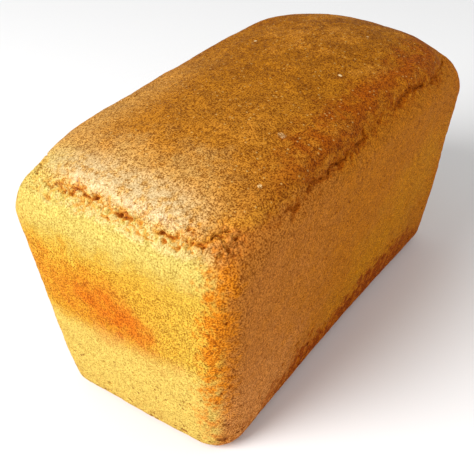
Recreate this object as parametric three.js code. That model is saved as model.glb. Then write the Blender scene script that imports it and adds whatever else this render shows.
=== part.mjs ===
// A tin loaf: a sandwich-style loaf baked as one piece in a tapered bread tin.
//
// The tin gives it four leaning, nearly flat walls with rounded corners and a flat base. Above the
// tin's rim the dough has risen free, so the top is a low dome with soft shoulders. Round the rim,
// where the crust tore as the loaf rose, runs a shallow crease that bakers call the shred.
//
// Units are millimetres, +Z is up, +X runs along the loaf. The origin is the middle of the base.
import * as THREE from "three";
import { mergeVertices } from "three/addons/utils/BufferGeometryUtils.js";

// The tin, measured at its rim.
const RIM_LENGTH = 220;
const RIM_WIDTH = 112;
const RIM_HEIGHT = 112;

// How far each wall comes in from the rim down to the base. The left end leans more than the right
// one, which spread against the tin as the loaf was turned out.
const LEFT_END_LEAN = 13;
const RIGHT_END_LEAN = 7;
const SIDE_LEAN = 10.5;

// As it cooled, the long walls sank in and the end walls swelled a little, most of all at the base.
const SIDE_HOLLOW = 2;
const END_SWELL = 1;

// Radii of the tin's upright corners, of the shoulders and of the base's edge.
const RIM_CORNER_RADIUS = 12;
const BASE_CORNER_RADIUS = 14;
const SHOULDER_RADIUS = 13;
const BASE_EDGE_RADIUS = 8;

// The dome: its height at the middle, and how far it falls by the side walls and by the end walls.
const TOP_HEIGHT = 128;
const FALL_TO_SIDES = 13.5;
const SIDE_FALL_POWER = 2.4;
const FALL_TO_ENDS = 15.5;
const END_FALL_POWER = 4.4;

// The crease round the rim.
const SHRED_DEPTH = 1.6;
const SHRED_HALF_HEIGHT = 3.2;

// The mesh: how many cells the surface has each way, how far in from the box's faces the rays
// start, and how strongly the rows crowd towards the rounded edges.
const CELLS = { length: 32, width: 20, height: 22 };
const RAY_INSET = 26;
const CROWDING = 0.3;
const BISECTIONS = 40;

// Base points this close to the table lie flat on it.
const BASE_FLATNESS = 0.01;

const CRUST_COLOR = 0xc98a2e;

const { abs, exp, hypot, max, min } = Math;

// The larger of two signed distances, with the edge between them rounded to a radius.
function roundedMax(a, b, radius) {
  return min(max(a, b), -radius) + hypot(max(a + radius, 0), max(b + radius, 0));
}

// Signed distance, near enough, from a point to the loaf's surface: negative inside the loaf.
function distanceToLoaf({ x, y, z }) {
  const halfLength = RIM_LENGTH / 2;
  const halfWidth = RIM_WIDTH / 2;
  const belowRim = 1 - z / RIM_HEIGHT;
  const towardsBase = THREE.MathUtils.clamp(belowRim, 0, 1);
  const midLength = max(1 - (x / halfLength) ** 2, 0);
  const midWidth = max(1 - (y / halfWidth) ** 2, 0);

  const endLean = x > 0 ? RIGHT_END_LEAN : LEFT_END_LEAN;
  const shred = SHRED_DEPTH * exp(-(((z - RIM_HEIGHT) / SHRED_HALF_HEIGHT) ** 2));
  const endWall = halfLength - endLean * belowRim + END_SWELL * midWidth * towardsBase - shred;
  const sideWall = halfWidth - SIDE_LEAN * belowRim - SIDE_HOLLOW * midLength * towardsBase - shred;
  const cornerRadius = THREE.MathUtils.lerp(RIM_CORNER_RADIUS, BASE_CORNER_RADIUS, towardsBase);
  const walls = roundedMax(abs(x) - endWall, abs(y) - sideWall, cornerRadius);

  const dome =
    TOP_HEIGHT -
    FALL_TO_SIDES * abs(y / halfWidth) ** SIDE_FALL_POWER -
    FALL_TO_ENDS * abs(x / halfLength) ** END_FALL_POWER;
  const risen = roundedMax(walls, z - dome, SHOULDER_RADIUS);
  return roundedMax(risen, -z, BASE_EDGE_RADIUS);
}

// Moves an even position between -1 and 1 outwards, so that rows of cells are closer at the edges.
function crowd(u) {
  return u * (1 + CROWDING * (1 - u * u));
}

// Where the ray from a box's inner core out through one of its surface points leaves the loaf.
function pointOnLoaf(boxPoint, core) {
  const start = core.clampPoint(boxPoint, new THREE.Vector3());
  const direction = boxPoint.clone().sub(start).normalize();
  const place = new THREE.Vector3();
  let inside = 0;
  let outside = RIM_LENGTH;
  for (let i = 0; i < BISECTIONS; i += 1) {
    const middle = (inside + outside) / 2;
    place.copy(start).addScaledVector(direction, middle);
    if (distanceToLoaf(place) < 0) inside = middle;
    else outside = middle;
  }
  return place;
}

// One closed skin: a finely divided box, each of whose points is moved onto the loaf's surface.
function makeLoafGeometry() {
  const size = new THREE.Vector3(RIM_LENGTH, RIM_WIDTH, TOP_HEIGHT);
  const middle = new THREE.Vector3(0, 0, TOP_HEIGHT / 2);
  const core = new THREE.Box3().setFromCenterAndSize(middle, size);
  core.expandByScalar(-RAY_INSET);

  const box = new THREE.BoxGeometry(2, 2, 2, CELLS.length, CELLS.width, CELLS.height);
  box.deleteAttribute("normal");
  box.deleteAttribute("uv");
  const skin = mergeVertices(box);
  const points = skin.getAttribute("position");
  const point = new THREE.Vector3();
  for (let i = 0; i < points.count; i += 1) {
    point.fromBufferAttribute(points, i);
    const onBase = point.z === -1;
    point.set(crowd(point.x), crowd(point.y), crowd(point.z));
    point.multiply(size).multiplyScalar(0.5).add(middle);
    point.copy(pointOnLoaf(point, core));
    if (onBase && point.z < BASE_FLATNESS) point.z = 0;
    points.setXYZ(i, point.x, point.y, point.z);
  }

  // The two ends lean differently, so the skin is slid to put its middle over the origin.
  skin.computeBoundingBox();
  skin.translate(-skin.boundingBox.getCenter(point).x, 0, 0);
  skin.computeVertexNormals();
  return skin;
}

const loaf = new THREE.Mesh(
  makeLoafGeometry(),
  new THREE.MeshStandardMaterial({ color: CRUST_COLOR, roughness: 0.75, metalness: 0 }),
);
loaf.name = "loaf";

const tinLoaf = new THREE.Group();
tinLoaf.add(loaf);

export default tinLoaf;
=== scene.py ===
# A tin loaf on a pale table: one piece of baked dough with a thin crust. The dough filled a tapered
# tin up to its rim and rose free above it, so the loaf has flat leaning walls and a soft brown dome.
import itertools
import math

import bpy
import numpy as np
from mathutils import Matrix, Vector


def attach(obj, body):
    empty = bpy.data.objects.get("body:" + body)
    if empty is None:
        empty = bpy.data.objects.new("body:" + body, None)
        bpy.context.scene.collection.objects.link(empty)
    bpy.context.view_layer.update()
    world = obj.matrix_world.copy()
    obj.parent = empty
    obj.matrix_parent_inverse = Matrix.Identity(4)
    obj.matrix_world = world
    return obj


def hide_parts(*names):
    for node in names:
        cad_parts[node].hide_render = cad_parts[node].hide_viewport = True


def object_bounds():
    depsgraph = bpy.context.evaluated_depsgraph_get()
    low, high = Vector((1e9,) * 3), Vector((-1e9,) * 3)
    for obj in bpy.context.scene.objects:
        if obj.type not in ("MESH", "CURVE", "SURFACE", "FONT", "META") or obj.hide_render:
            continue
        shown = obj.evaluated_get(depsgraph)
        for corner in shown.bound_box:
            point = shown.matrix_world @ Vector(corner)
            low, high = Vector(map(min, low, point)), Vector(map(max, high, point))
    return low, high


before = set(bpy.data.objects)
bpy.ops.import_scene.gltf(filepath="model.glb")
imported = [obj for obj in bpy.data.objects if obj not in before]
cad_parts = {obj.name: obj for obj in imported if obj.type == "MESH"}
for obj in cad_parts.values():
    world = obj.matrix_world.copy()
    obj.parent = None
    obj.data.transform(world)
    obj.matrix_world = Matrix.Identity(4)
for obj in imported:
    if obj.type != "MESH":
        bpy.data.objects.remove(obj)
cad_low, cad_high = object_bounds()

# --- The loaf -----------------------------------------------------------------------------------
# One piece of wheat dough, crumb inside and a thin crust outside, baked in a tapered tin. Below the
# rim the tin pressed the crust flat; above it the dough rose free into a low dome. It is made as one
# closed skin in millimetres, with its left end at -x and its front at -y.
MM = 0.001

# The loaf at the tin's rim, and how far each wall comes in from there down to the base.
RIM_LENGTH = 220.0
RIM_WIDTH = 112.0
RIM_HEIGHT = 112.0
LEFT_END_LEAN = 13.0
RIGHT_END_LEAN = 7.0
SIDE_LEAN = 10.5

# The long walls sank a little at mid-length as the loaf cooled, and the ends stand a little proud.
SIDE_HOLLOW = 2.0
END_SWELL = 1.0

# How round the upright corners are at the rim and at the base, and the dome's and base's edges.
RIM_CORNER = 12.0
BASE_CORNER = 14.0
SHOULDER = 13.0
BASE_EDGE = 8.0

# The dome's top, and how far and how late it falls to the long sides and to the ends.
TOP_HEIGHT = 128.0
FALL_TO_SIDES = 13.5
SIDE_FALL_POWER = 2.4
FALL_TO_ENDS = 15.5
END_FALL_POWER = 4.4


def smoothstep(low, high, x):
    """0 below low and 1 above high, eased between them."""
    t = np.clip((x - low) / (high - low), 0, 1)
    return t * t * (3 - 2 * t)


def bell(x, middle, spread):
    """1 at the middle, falling away smoothly on both sides of it."""
    return np.exp(-(((x - middle) / spread) ** 2))


def rounded_max(a, b, radius):
    """The larger of two signed distances, with the edge between them rounded."""
    corner = np.hypot(np.maximum(a + radius, 0), np.maximum(b + radius, 0))
    return np.minimum(np.maximum(a, b), -radius) + corner


def past_walls(points):
    """How far each point is past the end walls, and past the long walls, of the tin."""
    x, y, z = points.T
    below_rim = 1 - z / RIM_HEIGHT
    towards_base = np.clip(below_rim, 0, 1)
    mid_length = np.maximum(1 - (2 * x / RIM_LENGTH) ** 2, 0)
    mid_width = np.maximum(1 - (2 * y / RIM_WIDTH) ** 2, 0)
    lean = np.where(x > 0, RIGHT_END_LEAN, LEFT_END_LEAN)
    end_wall = RIM_LENGTH / 2 - lean * below_rim + END_SWELL * mid_width * towards_base
    side_wall = RIM_WIDTH / 2 - SIDE_LEAN * below_rim - SIDE_HOLLOW * mid_length * towards_base
    return np.abs(x) - end_wall, np.abs(y) - side_wall


def outside(points):
    """Signed distance from the loaf's smooth outer shape, below zero inside it."""
    x, y, z = points.T
    corner = BASE_CORNER + (RIM_CORNER - BASE_CORNER) * np.clip(z / RIM_HEIGHT, 0, 1)
    dome = (
        TOP_HEIGHT
        - FALL_TO_SIDES * np.abs(2 * y / RIM_WIDTH) ** SIDE_FALL_POWER
        - FALL_TO_ENDS * np.abs(2 * x / RIM_LENGTH) ** END_FALL_POWER
    )
    risen = rounded_max(rounded_max(*past_walls(points), corner), z - dome, SHOULDER)
    return rounded_max(risen, -z, BASE_EDGE)


def box_skin(counts):
    """A box from -1 to 1 with evenly divided sides, as its points and its quads."""
    size = np.array(counts) + 1
    rings = []
    for axis, end in itertools.product(range(3), (0, 1)):
        u = (axis + 1) % 3
        v = (axis + 2) % 3
        i, j = np.indices((counts[u], counts[v])).reshape(2, -1)
        ring = []
        for du, dv in ((0, 0), (1, 0), (1, 1), (0, 1)):
            at = np.full((3, i.size), end * counts[axis])
            at[u] = i + du
            at[v] = j + dv
            ring.append(np.ravel_multi_index(at, size))
        rings.append(np.stack(ring if end else ring[::-1], axis=1))
    used, quads = np.unique(np.concatenate(rings), return_inverse=True)
    grid = np.stack(np.unravel_index(used, size), axis=1)
    return 2 * grid / np.array(counts) - 1, quads.reshape(-1, 4)


def onto_loaf(box_points):
    """Each box point moved onto the loaf, along a ray from the box's own inner core."""
    core_depth = 26.0
    halvings = 22
    half = np.array([RIM_LENGTH, RIM_WIDTH, TOP_HEIGHT]) / 2
    middle = np.array([0, 0, TOP_HEIGHT / 2])
    target = box_points * half
    start = np.clip(target, core_depth - half, half - core_depth)
    ray = target - start
    ray /= np.linalg.norm(ray, axis=1)[:, None]
    near = np.zeros(len(ray))
    far = np.full(len(ray), 2 * core_depth)
    for _ in range(halvings):
        reach = (near + far) / 2
        within = outside(start + middle + ray * reach[:, None]) < 0
        near = np.where(within, reach, near)
        far = np.where(within, far, reach)
    return start + middle + ray * near[:, None]


def facing(points):
    """The outward direction of the smooth shape at each point."""
    step = 0.05
    slopes = [outside(points + step * e) - outside(points - step * e) for e in np.eye(3)]
    slopes = np.stack(slopes, axis=1)
    return slopes / np.linalg.norm(slopes, axis=1)[:, None]


# The smooth shape, as points close enough together to carry the crust's holes and cracks.
FINE_CELL = 0.66
cell_size = FINE_CELL
box_sides = (RIM_LENGTH, RIM_WIDTH, TOP_HEIGHT)
box_points, quads = box_skin([round(side / cell_size) for side in box_sides])
smooth = onto_loaf(box_points)
outward = facing(smooth)

# Which part of the loaf each point is on: 1 on that part, eased to 0 away from it. The upright
# corners are where a point is close to an end wall and to a long wall at once.
x, y, z = smooth.T
left_end = smoothstep(80, 104, -x)
right_end = smoothstep(80, 104, x)
ends = np.maximum(left_end, 0.5 * right_end)
front = smoothstep(30, 48, -y)
back = smoothstep(30, 48, y)
past_end, past_side = past_walls(smooth)
upright = smoothstep(-20, -4, np.minimum(past_end, past_side))
underside = (box_points[:, 2] == -1) & (z < 0.01)


def dice(cells, seed):
    """Three fixed random numbers from 0 to 1 for each whole-number cell."""
    # Multiplying by these long odd numbers stirs every bit of a cell's place and of the seed.
    mix = np.full(len(cells), (seed * 0x9E3779B1 + 0x85EBCA77) % 2**32, np.uint32)
    for part in cells.astype(np.uint32).T:
        mix = (mix ^ part) * np.uint32(0x7FEB352D)
        mix ^= mix >> np.uint32(15)
        mix *= np.uint32(0x846CA68B)
        mix ^= mix >> np.uint32(16)
    ten_bits = 1023
    thirds = [(mix >> np.uint32(shift)) & np.uint32(ten_bits) for shift in (0, 10, 20)]
    return np.stack(thirds, axis=1).astype(np.float32) / ten_bits


def lumps(points, grain, seed):
    """Smooth noise from about -1 to 1, whose lumps are about grain millimetres apart."""
    to_full_range = 2.2
    places = (points / grain).astype(np.float32)
    cell = np.floor(places).astype(np.int32)
    inside = places - cell
    ease = inside**3 * (inside * (inside * 6 - 15) + 10)
    total = np.zeros(len(points), np.float32)
    for corner in itertools.product((0, 1), repeat=3):
        corner = np.array(corner, np.int32)
        share = np.prod(np.where(corner, ease, 1 - ease), axis=1)
        slope = dice(cell + corner, seed) * 2 - 1
        total += share * np.einsum("ij,ij->i", inside - corner.astype(np.float32), slope)
    return total * to_full_range


# The shred: round the rim the rising dough tore. The line wanders and lifts along the middle of
# the walls, and above it the dome rolled a little way out over the rim.
seen_from_above = smooth * (1, 1, 0)
rim_line = (
    RIM_HEIGHT
    + 1.5 * lumps(seen_from_above, grain=27, seed=1)
    + 0.9 * lumps(seen_from_above, grain=9, seed=2)
    + 3.4 * bell(x, middle=24, spread=46) * front
    + 2.6 * bell(x, middle=-20, spread=40) * back
    + 1.6 * bell(y, middle=8, spread=22) * left_end
)
above_rim = z - rim_line
roll = 1.1 * bell(above_rim, middle=6.0, spread=4.2) - 0.5 * bell(above_rim, middle=-1.0, spread=3.2)
roll = roll * (1 - 0.85 * upright)
roll *= (1 - 0.6 * right_end) * (1 - 0.7 * left_end * back)


def bubbles(points, spacing, seed):
    """Distances to the nearest and the next of many scattered bubbles, and the nearest one's luck."""
    further_than_any = 9
    places = (points / spacing).astype(np.float32)
    cell = np.floor(places).astype(np.int32)
    nearest = np.full(len(points), further_than_any, np.float32)
    second = nearest.copy()
    luck = np.zeros(len(points), np.float32)
    for step in itertools.product((-1, 0, 1), repeat=3):
        home = cell + np.array(step, np.int32)
        away = places - home - dice(home, seed)
        distance = np.einsum("ij,ij->i", away, away)
        closer = distance < nearest
        second = np.where(closer, nearest, np.minimum(second, distance))
        nearest = np.where(closer, distance, nearest)
        luck[closer] = dice(home[closer], seed + 1)[:, 0]
    return np.sqrt(nearest) * spacing, np.sqrt(second) * spacing, luck


def pits(points, spacing, smallest, largest, share, seed):
    """Round pits from 0 to 1 deep at a share of the scattered bubbles, of mixed radii."""
    distance, _, luck = bubbles(points, spacing, seed)
    chosen = luck < share
    radius = smallest + (largest - smallest) * luck / share
    return np.where(chosen, np.sqrt(np.clip(1 - (distance / radius) ** 2, 0, 1)), 0)


# Torn crumb: open bubbles, finer holes and a web of thin clefts, widest and most ragged on the
# left end.
wander = np.stack([lumps(smooth, grain=4.5, seed=seed) for seed in (5, 6, 7)], axis=1)
stirred = smooth + 1.1 * wander
raggedness = np.clip(0.3 + 0.75 * ends + 0.5 * lumps(seen_from_above, grain=16, seed=3), 0, 1)
raggedness *= 1 - 0.35 * upright
tear_height = 2.6 + 2.2 * ends + 1.0 * lumps(seen_from_above, grain=12, seed=4)
torn = raggedness * bell(above_rim, middle=0.4 * ends - 0.6, spread=tear_height)
to_bubble, to_next, bubble_luck = bubbles(stirred, spacing=3.3, seed=8)
clefts = bell(to_next - to_bubble, middle=0, spread=0.55) * smoothstep(0.1, 0.5, bubble_luck)
open_cells = (bubble_luck < 0.3) * np.sqrt(np.clip(1 - (to_bubble / 1.5) ** 2, 0, 1))
fine_holes = pits(stirred, spacing=2.1, smallest=0.55, largest=1.1, share=0.6, seed=9)

# Cracks: one wavering line that breaks off and starts again, and on the ends a shorter one below.
waver = 1.5 * lumps(smooth, grain=6, seed=10) + 0.9 * lumps(smooth, grain=2.6, seed=11)
crack = bell(above_rim - 1.6 * ends + waver, middle=-0.4, spread=0.62 + 0.12 * (1 - ends))
unbroken = 0.15 * left_end + lumps(seen_from_above, grain=11, seed=12)
unbroken = unbroken + 0.3 * lumps(smooth, grain=3.5, seed=30)
crack *= smoothstep(-0.12, 0.25, unbroken)
low_crack = ends * bell(above_rim + 3.6 + 1.3 * waver, middle=0, spread=0.6)
low_crack *= smoothstep(0, 0.4, lumps(smooth, grain=9, seed=31))
crack = np.maximum(crack, 0.7 * low_crack) * (1 - 0.6 * upright)

# How deep the tear's marks go, in millimetres. The right front corner hardly tore.
CLEFT_DEPTH = 0.9
BUBBLE_DEPTH = 1.9
HOLE_DEPTH = 0.8
CRACK_DEPTH = 1.35
TORN_DEPTH = 0.15
crumb_depth = CLEFT_DEPTH * clefts + BUBBLE_DEPTH * open_cells + HOLE_DEPTH * fine_holes + TORN_DEPTH
tear_depth = torn * crumb_depth + CRACK_DEPTH * crack
whole_corner = 0.85 * smoothstep(86, 100, x) * smoothstep(16, 42, -y)
tear_depth *= 1 - whole_corner

# Skin of the dome: broad sags, then thumb-sized and pea-sized unevenness, and a few blisters. The
# back of it sank a little.
on_dome = smoothstep(0, 7, above_rim)
dome_bumps = 0.45 * lumps(smooth, grain=30, seed=13) + 0.2 * lumps(smooth, grain=13, seed=14)
dome_bumps += 0.09 * lumps(smooth, grain=6.5, seed=15) + 0.07 * lumps(smooth, grain=3.2, seed=16)
blisters = pits(smooth, spacing=15, smallest=1.2, largest=3.0, share=0.4, seed=17) ** 2
sunk_back = 1.3 * smoothstep(6, 44, y) * bell(x, middle=-34, spread=62) * on_dome

# Walls: nearly flat, with pin pores, more of them low down and on the upright corners. The right
# end stands a little full, and two corners of the base didn't fill the tin.
wall_bumps = 0.25 * lumps(smooth, grain=34, seed=18) + 0.1 * lumps(smooth, grain=8, seed=19)
wall_bumps += 0.06 * lumps(smooth, grain=3, seed=20)
low_wall = 1 - smoothstep(14, 46, z)
pores = pits(smooth, spacing=6.0, smallest=0.6, largest=1.3, share=0.6, seed=21)
pores *= np.clip(0.35 + 0.65 * low_wall + 0.5 * upright, 0, 1)
rough_corner = 0.14 * upright * lumps(smooth, grain=2.6, seed=22)
full_end = 1.1 * bell(z, middle=34, spread=26) * right_end
chipped_corner = (
    2.2
    * bell(x, middle=-97, spread=6)
    * bell(y, middle=44, spread=6)
    * bell(z, middle=5, spread=8)
)
soft_corner = (
    2.2
    * bell(x, middle=103, spread=9)
    * bell(y, middle=-46, spread=9)
    * bell(z, middle=0, spread=9)
)

# Base: the wettest dough caught on the tin here, so the edge is pitted all round, and the flat
# underside has shallow pits.
base_edge = (1 - smoothstep(4, 10, z)) * ~underside
edge_pits = pits(stirred, spacing=4.4, smallest=0.9, largest=2.1, share=0.55, seed=23) * base_edge
under_pits = pits(smooth, spacing=8.0, smallest=0.8, largest=3.2, share=0.5, seed=24) * underside

# All of it together: the skin is lifted off the smooth shape, and its pits go into it.
PORE_DEPTH = 0.9
EDGE_PIT_DEPTH = 1.3
UNDER_PIT_DEPTH = 0.8
BLISTER_RISE = 0.35
on_wall = (1 - on_dome) * ~underside
pit_depth = (
    tear_depth
    + PORE_DEPTH * pores * on_wall
    + EDGE_PIT_DEPTH * edge_pits
    + UNDER_PIT_DEPTH * under_pits
)
lift = on_dome * (dome_bumps + BLISTER_RISE * blisters) + on_wall * (wall_bumps + rough_corner) + roll
lift += full_end - chipped_corner - soft_corner - sunk_back
skin = smooth + outward * np.where(underside, 0, lift)[:, None] - outward * pit_depth[:, None]
skin[:, 2] = np.maximum(skin[:, 2], 0)

# The skin as a mesh, slid along until its middle is the frame's. What the crust's colours need to
# know about each point goes along with it.
slide = (cad_low[0] + cad_high[0]) / 2 - (x.min() + x.max()) / 2 * MM
mesh = bpy.data.meshes.new("baked_loaf")
mesh.from_pydata((skin * MM + (slide, 0, 0)).tolist(), [], quads.tolist())
marks = {
    "above_rim": above_rim,
    "torn": torn,
    "pit_depth": pit_depth,
    "upright": upright,
    "underside": underside,
    "left_wall": np.maximum(-outward[:, 0], 0) ** 2,
    "right_wall": np.maximum(outward[:, 0], 0) ** 2,
    "front_wall": np.maximum(-outward[:, 1], 0) ** 2,
    "back_wall": np.maximum(outward[:, 1], 0) ** 2,
}
for name, values in marks.items():
    mesh.attributes.new(name, "FLOAT", "POINT").data.foreach_set("value", values.astype(np.float32))
box_spot = mesh.attributes.new("box_spot", "FLOAT_VECTOR", "POINT")
box_spot.data.foreach_set("vector", box_points.astype(np.float32).ravel())
loaf = bpy.data.objects.new("baked_loaf", mesh)
scene = bpy.context.scene
scene.collection.objects.link(loaf)

# Flat stretches of the skin are thinned out, so that the points are where the crust is rough.
MOST_TRIANGLES = 196_000
if 2 * len(quads) > MOST_TRIANGLES:
    thin = loaf.modifiers.new("thin", "DECIMATE")
    thin.ratio = MOST_TRIANGLES / (2 * len(quads))
    with bpy.context.temp_override(object=loaf, active_object=loaf):
        bpy.ops.object.modifier_apply(modifier=thin.name)
mesh.shade_smooth()

# A flat layout of the six sides, for copies whose colours are baked onto a sheet: two columns of
# sides, each given by its axis, its end of that axis and its scale. The underside, which rests on
# the table, is laid out at half size.
GAP = 2.0
columns = (
    ((1, -1, 1.0), (1, 1, 1.0), (2, 1, 1.0)),
    ((0, -1, 1.0), (0, 1, 1.0), (2, -1, 0.5)),
)
side_places = {}
column_start = GAP
sheet_size = 0
for column in columns:
    side_start = GAP
    column_width = 0
    for axis, sign, scale in column:
        first, other = [n for n in range(3) if n != axis]
        side_places[axis, sign] = (column_start, side_start, scale)
        side_start += box_sides[other] * scale + GAP
        column_width = max(column_width, box_sides[first] * scale)
    column_start += column_width + GAP
    sheet_size = max(sheet_size, side_start, column_start)

spots = np.zeros(3 * len(mesh.vertices), np.float32)
mesh.attributes["box_spot"].data.foreach_get("vector", spots)
spots = spots.reshape(-1, 3)
loop_vertex = np.zeros(len(mesh.loops), np.int32)
mesh.loops.foreach_get("vertex_index", loop_vertex)
face_start, face_size = np.zeros((2, len(mesh.polygons)), np.int32)
mesh.polygons.foreach_get("loop_start", face_start)
mesh.polygons.foreach_get("loop_total", face_size)
loop_spot = spots[loop_vertex]
face_spot = np.add.reduceat(loop_spot, face_start) / face_size[:, None]
face_axis = np.argmax(np.abs(face_spot), axis=1)
face_sign = np.sign(face_spot[np.arange(len(face_axis)), face_axis])
layout = np.zeros((len(mesh.loops), 2), np.float32)
for (axis, sign), (start_u, start_v, scale) in side_places.items():
    chosen = np.repeat((face_axis == axis) & (face_sign == sign), face_size)
    first, other = [n for n in range(3) if n != axis]
    layout[chosen, 0] = start_u + (loop_spot[chosen, first] + 1) / 2 * box_sides[first] * scale
    layout[chosen, 1] = start_v + (loop_spot[chosen, other] + 1) / 2 * box_sides[other] * scale
mesh.uv_layers.new(name="OFBake").data.foreach_set("uv", (layout / sheet_size).ravel())


class Wire:
    """An output socket of the crust's nodes. Arithmetic on wires and numbers adds Math nodes."""

    tree = None

    def __init__(self, socket):
        self.socket = socket

    @classmethod
    def node(cls, kind, settings, inputs, output=0):
        """Adds a node of this type: its settings first, then the values or wires of its sockets."""
        made = cls.tree.nodes.new(kind)
        for name, value in settings.items():
            setattr(made, name, value)
        for name, value in inputs.items():
            if isinstance(value, Wire):
                cls.tree.links.new(value.socket, made.inputs[name])
            else:
                made.inputs[name].default_value = value
        return cls(made.outputs[output])

    @classmethod
    def maths(cls, operation, *terms):
        """Adds a Math node that works on these terms."""
        return cls.node("ShaderNodeMath", {"operation": operation}, dict(enumerate(terms)))

    def __add__(self, other):
        return Wire.maths("ADD", self, other)

    __radd__ = __add__

    def __sub__(self, other):
        return Wire.maths("SUBTRACT", self, other)

    def __rsub__(self, other):
        return Wire.maths("SUBTRACT", other, self)

    def __mul__(self, other):
        return Wire.maths("MULTIPLY", self, other)

    __rmul__ = __mul__

    def __truediv__(self, other):
        return Wire.maths("DIVIDE", self, other)

    def __rtruediv__(self, other):
        return Wire.maths("DIVIDE", other, self)

    def __pow__(self, other):
        return Wire.maths("POWER", self, other)

    def __rpow__(self, other):
        return Wire.maths("POWER", other, self)

    def ramp(self, low, high):
        """0 at low and 1 at high, eased between them; low may be the larger of the two."""
        if low > high:
            return 1 - self.ramp(high, low)
        settings = {"interpolation_type": "SMOOTHSTEP"}
        inputs = {"Value": self, "From Min": low, "From Max": high}
        return Wire.node("ShaderNodeMapRange", settings, inputs)


# The Mix node has sockets for several kinds of value. These are the places of its colour ones.
COLOUR_UNDER = 6
COLOUR_OVER = 7
COLOUR_OUT = 2


def paint_over(under, over, share):
    """One colour laid over another, as far as share goes from 0 to 1."""
    settings = {"data_type": "RGBA", "clamp_factor": True}
    inputs = {"Factor": share, COLOUR_UNDER: under, COLOUR_OVER: over}
    return Wire.node("ShaderNodeMix", settings, inputs, COLOUR_OUT)


def tinted(colour, tint):
    """One colour multiplied by another."""
    settings = {"data_type": "RGBA", "blend_type": "MULTIPLY"}
    inputs = {"Factor": 1.0, COLOUR_UNDER: colour, COLOUR_OVER: tint}
    return Wire.node("ShaderNodeMix", settings, inputs, COLOUR_OUT)


def shaded(colour, strength):
    """A colour made darker or lighter by a number."""
    inputs = {"Vector": colour, "Scale": strength}
    return Wire.node("ShaderNodeVectorMath", {"operation": "SCALE"}, inputs)


def shifted_place(*shift):
    """The place on the loaf moved by a step, so that each pattern starts somewhere of its own."""
    return Wire.node("ShaderNodeVectorMath", {"operation": "ADD"}, {0: place, 1: shift})


def cloud(size, detail, roughness=0.5, shift=0.0):
    """Soft noise from about 0 to 1, whose patches are about this many millimetres across."""
    here = shifted_place(shift, shift * 1.7, -shift)
    inputs = {"Vector": here, "Scale": 1 / (size * MM), "Detail": detail, "Roughness": roughness}
    return Wire.node("ShaderNodeTexNoise", {}, inputs, "Fac")


def dots(spacing, radius, share, shift):
    """Scattered dots, 1 at the middle, at a share of the places this many millimetres apart."""
    settings = {"feature": "F1"}
    here = shifted_place(shift, -shift, shift)
    inputs = {"Vector": here, "Scale": 1 / (spacing * MM), "Randomness": 1.0}
    distance = Wire.node("ShaderNodeTexVoronoi", settings, inputs, "Distance")
    colour = Wire.node("ShaderNodeTexVoronoi", settings, inputs, "Color")
    luck = Wire.node("ShaderNodeSeparateColor", {}, {"Color": colour}, "Red")
    full_until = 0.3 * radius
    soft_dot = distance.ramp(radius / spacing, full_until / spacing)
    return soft_dot * luck.ramp(share + 0.01, share - 0.01)


# The crust's material, and what it knows of a point: its place along, across and up the loaf, and
# the marks that the skin carries, under the names they had above.
crust = bpy.data.materials.new("crust")
crust.use_nodes = True
Wire.tree = crust.node_tree
place = Wire.node("ShaderNodeTexCoord", {}, {}, "Object")
along, across, height = [
    Wire.node("ShaderNodeSeparateXYZ", {}, {"Vector": place}, axis) / MM for axis in "XYZ"
]
above_rim, torn, pit_depth, upright, underside, left_wall, right_wall, front_wall, back_wall = [
    Wire.node("ShaderNodeAttribute", {"attribute_name": name}, {}, "Fac") for name in marks
]

# The crust's own unevenness, from hand-sized patches down to grains of flour.
broad = cloud(size=48, detail=2)
patches = cloud(size=17, detail=3, roughness=0.6, shift=0.3)
mottle = cloud(size=7, detail=3, roughness=0.65, shift=0.7)
blotch = cloud(size=3.2, detail=2, roughness=0.6, shift=0.9)
dust = cloud(size=2.1, detail=2, roughness=0.6, shift=1.9)
grain = cloud(size=0.66, detail=2, roughness=0.7, shift=1.3)
unevenness = 0.5 * patches + 0.3 * mottle + 0.2 * blotch - 0.5


def ragged(distance, swing):
    """A distance that wanders to and fro, for ragged edges: the larger swing is, the further."""
    return distance + swing * unevenness


def oval(side, up, middle, lean, length, width):
    """A ragged oval patch on a wall: its middle, its lean in degrees and its half sizes."""
    turn = math.radians(lean)
    a = (side - middle[0]) * math.cos(turn) + (up - middle[1]) * math.sin(turn)
    b = (up - middle[1]) * math.cos(turn) - (side - middle[0]) * math.sin(turn)
    return ragged((a / length) ** 2 + (b / width) ** 2, 7).ramp(1.7, -0.5)


# Parts of the loaf that share a tone, each 1 inside and 0 outside.
to_front = across.ramp(-16, -44)
to_back = across.ramp(16, 44)
to_right = along.ramp(75, 100)
near_left = along.ramp(-52, -86)
off_left = along.ramp(-92, -66)
round_back = to_back * along.ramp(-78, -94)
on_end = (left_wall + right_wall + 0.45 * round_back).ramp(0.3, 0.8)
seam_side = front_wall + back_wall * off_left
on_seam_side = seam_side.ramp(0, 0.6)

# The ends are gold, paler under the rim and towards the base and amber between, with a scorched
# patch each. The right end is a duller tan.
END_GOLD = (0.475, 0.320, 0.045, 1)
END_PALE = (0.475, 0.375, 0.100, 1)
END_LOW = (0.535, 0.385, 0.092, 1)
END_AMBER = (0.480, 0.225, 0.014, 1)
SCORCH = (0.465, 0.105, 0.004, 1)
FAR_TAN = (0.460, 0.205, 0.026, 1)
end_wall = paint_over(END_GOLD, END_PALE, ragged(height, 40).ramp(88, 102))
amber = ragged(height + 0.10 * across, 45).ramp(99, 80) * ragged(across, 60).ramp(-50, 20)
amber = amber * (0.4 + 0.6 * ragged(across, 30).ramp(52, 28))
amber = (0.25 + 0.75 * amber) * height.ramp(110, 85)
end_wall = paint_over(end_wall, END_AMBER, left_wall * amber * 0.9)
right_patch = oval(across, height, middle=(-6, 66), lean=-15, length=44, width=24)
end_wall = paint_over(end_wall, END_AMBER, right_wall * right_patch * 0.9)
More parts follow.
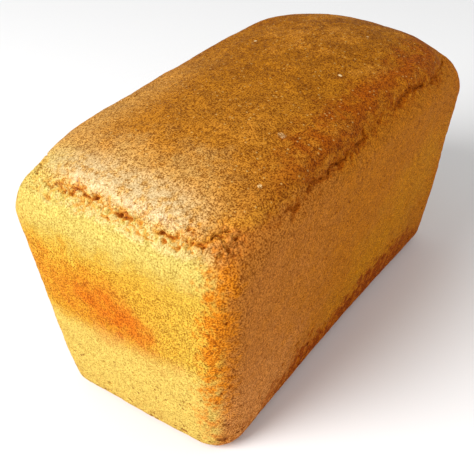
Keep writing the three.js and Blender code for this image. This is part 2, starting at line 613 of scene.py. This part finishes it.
end_wall = paint_over(end_wall, END_LOW, ragged(height, 30).ramp(55, 42))
wide_scorch = oval(across, height, middle=(18, 66), lean=22, length=40, width=20)
deep_scorch = oval(across, height, middle=(9, 65), lean=35, length=15, width=9)
next_scorch = oval(across, height, middle=(-7, 59), lean=30, length=13, width=8)
end_wall = paint_over(end_wall, SCORCH, left_wall * wide_scorch * 0.5)
end_wall = paint_over(end_wall, SCORCH, left_wall * deep_scorch * 0.75)
end_wall = paint_over(end_wall, SCORCH, left_wall * next_scorch * 0.6)
end_wall = paint_over(end_wall, FAR_TAN, right_wall * 0.85)
end_wall = shaded(end_wall, 0.85 + 0.3 * blotch)
right_scorch = oval(across, height, middle=(-14, 60), lean=-24, length=22, width=11)
end_wall = paint_over(end_wall, SCORCH, right_wall * right_scorch * 0.6)

# The long sides are tan, rosier towards the left end and rusty low down, with one ochre patch
# each.
SIDE_TAN = (0.415, 0.143, 0.007, 1)
SIDE_ROSE = (0.455, 0.165, 0.034, 1)
SIDE_OCHRE = (0.480, 0.195, 0.004, 1)
SIDE_PINK = (0.520, 0.212, 0.055, 1)
SIDE_RUST = (0.400, 0.105, 0.003, 1)
rosy = ragged(along, 150).ramp(0, -90)
side_wall = paint_over(SIDE_TAN, SIDE_ROSE, rosy * (0.6 + 0.4 * height.ramp(70, 10)))
front_patch = oval(along, height, middle=(52, 46), lean=24, length=74, width=30)
back_patch = oval(along, height, middle=(-30, 58), lean=-18, length=70, width=30)
side_wall = paint_over(side_wall, SIDE_OCHRE, front_wall * front_patch * 0.75)
side_wall = paint_over(side_wall, SIDE_OCHRE, back_wall * back_patch * 0.75)
pinkish = ragged(along, 100).ramp(-35, -80) * ragged(height, 60).ramp(62, 12)
side_wall = paint_over(side_wall, SIDE_PINK, pinkish * 0.85)
side_wall = paint_over(side_wall, SIDE_RUST, ragged(height, 60).ramp(20, 2) * (1 - pinkish) * 0.6)
side_wall = shaded(side_wall, 0.84 + 0.33 * mottle)
walls = paint_over(side_wall, end_wall, on_end)

# The upright corners browned where the crust stood clear of the tin, less so towards the base. The
# band is widest just below the rim, and the front is rusty all the way to its right corner.
CORNER_BROWN = (0.530, 0.172, 0.008, 1)
CORNER_PALE = (0.580, 0.240, 0.045, 1)
far_rust = to_front * ragged(along, 40).ramp(82, 102)
walls = paint_over(walls, SIDE_RUST, far_rust * 0.5)
narrowed = 0.5 * front_wall * ragged(height, 20).ramp(106, 86)
corner_share = (ragged(upright - narrowed, 3.4) + 1.6 * (blotch - 0.5)).ramp(0.15, 1.15)
corner_share = corner_share * (0.95 * to_front + 0.25 * to_back + 0.3 * to_right).ramp(0, 1)
corner_tan = paint_over(CORNER_BROWN, CORNER_PALE, ragged(height, 40).ramp(44, 10))
walls = paint_over(walls, corner_tan, corner_share)

# The dome browned most at its shoulders and is lighter towards the left end. Near the front of
# that end is a painted sheen, and a painted glare makes the band above the tear almost cream.
DOME_BROWN = (0.325, 0.121, 0.006, 1)
DOME_DARK = (0.240, 0.082, 0.004, 1)
DOME_LIGHT = (0.410, 0.165, 0.018, 1)
PALE_DOME_AND_SHEEN = (0.500, 0.280, 0.080, 1)
PAINTED_GLARE = (0.560, 0.430, 0.240, 1)
SHOULDER_RUST = (0.285, 0.060, 0.001, 1)
SHOULDER_AMBER = (0.445, 0.155, 0.006, 1)
CORNER_AMBER = (0.640, 0.270, 0.022, 1)
dome = paint_over(DOME_DARK, DOME_BROWN, unevenness.ramp(-0.13, 0.05))
dome = paint_over(dome, DOME_LIGHT, (unevenness + 0.5 * (broad - 0.5)).ramp(0.02, 0.16) * 0.8)
dome = paint_over(dome, DOME_LIGHT, along.ramp(10, -70) * 0.55)
# Painted sheen: the dome's near-left front is lightened where the lamp's soft highlight falls.
painted_sheen = ragged(along, 90).ramp(-60, -99) * ragged(across, 40).ramp(-52, -22)
dome = paint_over(dome, PALE_DOME_AND_SHEEN, painted_sheen * 0.95)
# The same pale colour, as tone, on the back of the dome towards the left end.
dome = paint_over(dome, PALE_DOME_AND_SHEEN, to_back * ragged(along, 60).ramp(40, -70) * 0.7)
dome = shaded(dome, 0.76 + 0.56 * mottle)
rust = ragged(above_rim, 45).ramp(15, 5) * (to_front + 0.25 * to_back + 0.4 * to_right).ramp(0, 1)
dome = paint_over(dome, SHOULDER_RUST, rust * ragged(along, 70).ramp(-88, -40) * 0.85)
amber_edge = ragged(above_rim, 30).ramp(6, 0) * (to_front + 0.3 * to_back * off_left)
shoulder = paint_over(SHOULDER_AMBER, CORNER_AMBER, near_left)
dome = paint_over(dome, shoulder, amber_edge * 0.8)
# Painted glare: an almost cream band just above the tear near the left end's front, where the lamp's
# highlight falls.
glare_band = along.ramp(-82, -98) * above_rim.ramp(1.5, 4) * ragged(above_rim, 20).ramp(19, 9)
glare_band = glare_band * across.ramp(-44, -20) * (blotch + mottle).ramp(0.75, 1.1)
dome = paint_over(dome, PAINTED_GLARE, glare_band * 0.9)
colour = paint_over(walls, dome, ragged(above_rim, 24).ramp(-1.5, 4))

# Where the dough tore: rust in mottled spots along the tear, pale crumb between orange-rimmed
# holes, and pits and cracks that turn rust and then near black the deeper they go. The left back
# corner of the tear stayed pale.
CRUMB = (0.56, 0.43, 0.19, 1)
ORANGE = (0.49, 0.22, 0.025, 1)
RUST = (0.35, 0.095, 0.005, 1)
DARKEST_BROWN = (0.14, 0.026, 0.002, 1)
seam_rust = ((above_rim - 1) ** 2).ramp(60, 8) * (mottle + blotch).ramp(0.98, 1.15)
seam_rust = seam_rust * (seam_side + 0.6 * right_wall) * (0.75 - 0.4 * near_left)
colour = paint_over(colour, SHOULDER_RUST, seam_rust)
crumb_share = torn.ramp(0.1, 0.45) * (left_wall + 0.6 * right_wall) * blotch.ramp(0.36, 0.52)
colour = paint_over(colour, CRUMB, crumb_share)
pit_rust = pit_depth.ramp(0.05, 0.4) * on_seam_side * (0.7 - 0.3 * near_left)
colour = paint_over(colour, SHOULDER_RUST, pit_rust)
colour = paint_over(colour, ORANGE, pit_depth.ramp(0.35, 0.9) * (1 - on_seam_side) * 0.8)
colour = paint_over(colour, RUST, (pit_depth + 0.35 * front_wall).ramp(0.9, 1.6) * 0.85)
colour = paint_over(colour, DARKEST_BROWN, (pit_depth + 0.4 * front_wall).ramp(1.4, 2.2) * 0.8)
colour = paint_over(colour, END_PALE, round_back * (above_rim ** 2).ramp(150, 20) * 0.55)

# The base: its edge caught on the tin and scorched in mottled spots, most of all along the middle
# of the front. The underside is plain brown.
EDGE_RED = (0.245, 0.042, 0.001, 1)
EDGE_RUST = (0.400, 0.095, 0.002, 1)
UNDER_BROWN = (0.36, 0.15, 0.022, 1)
UNDER_DARK = (0.24, 0.075, 0.006, 1)
caught = along.ramp(-84, -34) * (0.25 + 0.75 * along.ramp(98, 44))
edge_height = height - 26 * (blotch - 0.5) - 36 * (patches - 0.5) - 7 * caught
colour = paint_over(colour, EDGE_RUST, edge_height.ramp(17, 6) * front_wall * (0.2 + 0.6 * caught))
edge_spots = edge_height.ramp(15, 9) * (blotch + mottle).ramp(0.92, 1.06)
edge_share = 0.15 + front_wall * (0.15 + 0.6 * caught) + 0.5 * back_wall
colour = paint_over(colour, EDGE_RED, edge_spots * edge_share)
under = paint_over(UNDER_BROWN, UNDER_DARK, unevenness.ramp(-0.05, 0.08))
colour = paint_over(colour, under, underside)


def spot(middle, radius):
    """A small round spot at a place on the skin, in millimetres along, across and up."""
    away = (along - middle[0]) ** 2 + (across - middle[1]) ** 2 + (height - middle[2]) ** 2
    return (away ** 0.5 + 2.5 * (blotch - 0.5) * radius).ramp(radius * 1.15, radius * 0.7)


# A burnt fleck low on the left front corner, and a few grains of flour on the dome: where each lies
# along and across the loaf, and its radius. The wider ones are smears, and fainter.
FLOUR = (0.80, 0.62, 0.36, 1)
flour_grains = (
    (63, -17, 0.8),
    (17, -27, 0.8),
    (-70, -42, 1.0),
    (-40, -33, 1.5),
    (30, 25, 0.7),
)
colour = paint_over(colour, DARKEST_BROWN, spot((-93.6, -41, 9.5), 2.6) * 0.8)
for x_grain, y_grain, radius in flour_grains:
    flour = spot((x_grain, y_grain, height), radius) * above_rim.ramp(2, 4)
    colour = paint_over(colour, FLOUR, flour * (1 / (0.7 + radius**2)))

# Sandy grain all over, bolder on the dome and fainter near the top and the foot of the ends.
DARK_GRAIN = (0.49, 0.335, 0.12, 1)
LIGHT_GRAIN = (1.46, 1.47, 1.40, 1)
dome_share = above_rim.ramp(-1, 5)
end_share = (left_wall + right_wall).ramp(0.3, 0.8) * (1 - dome_share)
middle_end = height.ramp(44, 58) * height.ramp(94, 80)
sand = (grain - 0.5) * (3.9 + 1.4 * dome_share) + (dust - 0.5) * (0.9 + 0.8 * dome_share)
sand = sand * (1 - 0.6 * glare_band) * (1 - end_share * (0.38 - 0.5 * middle_end))
sand = sand * (1 + 0.35 * upright * to_front)
colour = tinted(colour, paint_over(DARK_GRAIN, LIGHT_GRAIN, sand + 0.55))

# Specks: pale flecks and dark dots on the dome, pin pores on the walls, most of them low down.
PALE_FLECK = (0.72, 0.45, 0.14, 1)
PORE = (0.20, 0.052, 0.004, 1)
flecks = dots(spacing=2.2, radius=0.62, share=0.35, shift=0.4) * dome_share
dark_dots = dots(spacing=1.8, radius=0.55, share=0.4, shift=0.9) * dome_share * (1 - glare_band)
low_or_corner = (upright + height.ramp(50, 15)).ramp(0, 1)
small_pores = dots(spacing=2.4, radius=0.55, share=0.3, shift=1.4) * (0.4 + 0.3 * low_or_corner)
large_pores = dots(spacing=3.4, radius=0.95, share=0.55, shift=2.2) * low_or_corner
edge_pores = dots(spacing=4.0, radius=1.0, share=0.6, shift=0.6) * height.ramp(12, 8) * height.ramp(0, 3)
fine_pores = (small_pores + large_pores + edge_pores) * (1 - dome_share)
base_dots = dots(spacing=5.0, radius=1.5, share=0.6, shift=2.9) * (1 - underside)
base_dots = base_dots * (height + 14 * (blotch - 0.5)).ramp(15, 8)
colour = paint_over(colour, PALE_FLECK, flecks * 0.55)
colour = paint_over(colour, PORE, fine_pores * 0.85 + dark_dots * 0.5 + base_dots * 0.8)

# The crust is dry and matt, with a soft gloss only on the dome's painted sheen and glare, and its
# grain stands up from it as fine relief.
roughness = 0.72 - 0.10 * dome_share + 0.25 * (mottle - 0.5)
gloss = dome_share * painted_sheen * (0.15 + 0.25 * mottle) + 0.2 * glare_band
relief = (grain - 0.5) * (0.9 + 0.6 * dome_share) + 0.35 * (dust - 0.5) + 0.5 * flecks
relief = relief - 0.6 * dark_dots - fine_pores - base_dots
bump_inputs = {"Height": relief, "Distance": 0.5 * MM, "Strength": 0.6}
bumps = Wire.node("ShaderNodeBump", {}, bump_inputs, "Normal")
shader = crust.node_tree.nodes["Principled BSDF"]
shader.inputs["Coat Roughness"].default_value = 0.38
shader.inputs["Specular IOR Level"].default_value = 0.03
varying = {"Base Color": colour, "Roughness": roughness, "Coat Weight": gloss, "Normal": bumps}
for name, wire in varying.items():
    crust.node_tree.links.new(wire.socket, shader.inputs[name])
mesh.materials.append(crust)
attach(loaf, "root")
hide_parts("loaf")

# --- The table ----------------------------------------------------------------------------------
# A plain pale table top with matt paint, three metres out from its middle on each side. The loaf
# stands on it at height zero.
TABLE_REACH = 3.0
PALE_GREY = (0.86, 0.86, 0.86, 1)
table_mesh = bpy.data.meshes.new("pale_table")
corners = [(-1, -1), (1, -1), (1, 1), (-1, 1)]
table_points = [(TABLE_REACH * x_side, TABLE_REACH * y_side, 0) for x_side, y_side in corners]
table_mesh.from_pydata(table_points, [], [(0, 1, 2, 3)])
table = bpy.data.objects.new("pale_table", table_mesh)
scene.collection.objects.link(table)
paint = bpy.data.materials.new("pale_paint")
paint.use_nodes = True
paint_shader = paint.node_tree.nodes["Principled BSDF"]
paint_shader.inputs["Base Color"].default_value = PALE_GREY
paint_shader.inputs["Roughness"].default_value = 0.9
table_mesh.materials.append(paint)

# --- The light ----------------------------------------------------------------------------------
# Soft studio light: a pale room all round, a large round lamp high beyond the left end, and a
# wider, weaker one low in front of the right end.
ROOM_STRENGTH = 0.5
LIT_SPOT = (0, 0, 0.06)
room = bpy.data.worlds.new("studio")
room.use_nodes = True
room_light = room.node_tree.nodes["Background"]
room_light.inputs["Color"].default_value = (1, 1, 1, 1)
room_light.inputs["Strength"].default_value = ROOM_STRENGTH
scene.world = room


def aim(thing, target):
    """Turns a lamp or a camera to face a place."""
    thing.rotation_euler = (Vector(target) - thing.location).to_track_quat("-Z", "Y").to_euler()


def round_lamp(name, width, watts, direction, distance):
    """A round soft lamp of this width, out from the loaf in a direction."""
    light = bpy.data.lights.new(name, "AREA")
    light.shape = "DISK"
    light.size = width
    light.energy = watts
    lamp = bpy.data.objects.new(name, light)
    lamp.location = Vector(direction).normalized() * distance
    aim(lamp, LIT_SPOT)
    scene.collection.objects.link(lamp)


round_lamp("window_light", width=0.9, watts=29, direction=(-0.76, 0.26, 0.60), distance=1.5)
round_lamp("soft_fill", width=1.4, watts=6, direction=(0.75, -0.9, 0.55), distance=1.6)

# --- The camera ---------------------------------------------------------------------------------
# It looks down from close by on the corner between the loaf's left end and its front, so that the
# upright edges draw together towards the base.
CAMERA_TURN = math.radians(-55.88)
CAMERA_RISE = math.radians(34.97)
CAMERA_DISTANCE = 0.37991
CAMERA_TARGET = Vector((-0.0237, -0.00077, 0.058))
lens = bpy.data.cameras.new("camera")
lens.lens = 62.64
lens.sensor_width = 36
camera = bpy.data.objects.new("camera", lens)
level = math.cos(CAMERA_RISE)
back_off = Vector((math.sin(CAMERA_TURN) * level, -math.cos(CAMERA_TURN) * level, math.sin(CAMERA_RISE)))
camera.location = CAMERA_TARGET + back_off * CAMERA_DISTANCE
aim(camera, CAMERA_TARGET)
scene.collection.objects.link(camera)
scene.camera = camera
scene.view_settings.view_transform = "Standard"
